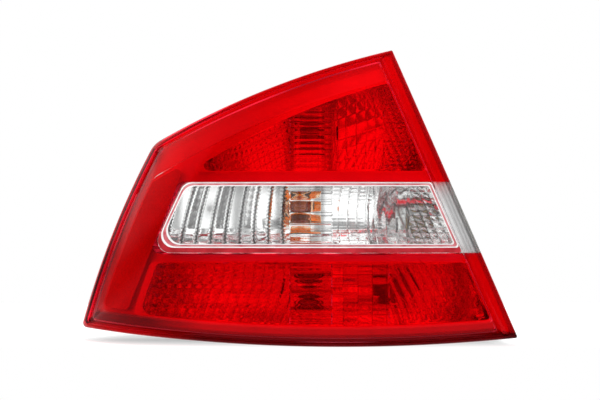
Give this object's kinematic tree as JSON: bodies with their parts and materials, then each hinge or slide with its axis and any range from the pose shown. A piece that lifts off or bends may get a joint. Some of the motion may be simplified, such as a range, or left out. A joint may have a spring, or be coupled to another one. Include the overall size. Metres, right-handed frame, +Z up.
{
  "type": "tail light cluster",
  "caption": "Left rear lamp cluster of a car: red lens with a clear middle window over fluted optics, reflectors, bulbs, housing, bulb carrier and fixing studs.",
  "frame": {"origin": "centre of the four fixing studs, on the plane where the lamp meets the body", "axes": "+X towards the middle of the car, +Y forward into the body along the studs, +Z up"},
  "size_m": [0.3916, 0.1125, 0.2668],
  "materials": {
    "red_acrylic": "gloss",
    "clear_acrylic": "gloss",
    "sealant": "matte",
    "black_plastic": "satin",
    "mirror_coat": "gloss",
    "plated_steel": "satin",
    "clear_glass": "gloss",
    "amber_glass": "gloss",
    "brass": "satin",
    "white_plastic": "satin",
    "rubber": "matte",
    "foam": "matte"
  },
  "bodies": {
    "root": {"red_lens": "red_acrylic", "clear_lens": "clear_acrylic", "lens_sealant": "sealant", "housing": "black_plastic", "upper_reflector": "mirror_coat", "middle_reflector": "mirror_coat", "lower_reflector": "mirror_coat", "reflector_screws": "plated_steel", "bezel": "mirror_coat", "side_reflex": "red_acrylic", "stop_bulb": "clear_glass", "turn_bulb": "amber_glass", "reverse_bulb": "clear_glass", "tail_bulb": "clear_glass", "fog_bulb": "clear_glass", "bulb_caps": "brass", "socket_sleeves": "plated_steel", "bulb_carrier": "white_plastic", "carrier_seal": "rubber", "carrier_screws": "plated_steel", "centre_contacts": "brass", "contact_strips": "brass", "connector_pins": "brass", "side_bulb": "clear_glass", "side_bulb_holder": "rubber", "vent_caps": "rubber", "body_gasket": "foam", "mounting_studs": "plated_steel"}
  },
  "joints": []
}
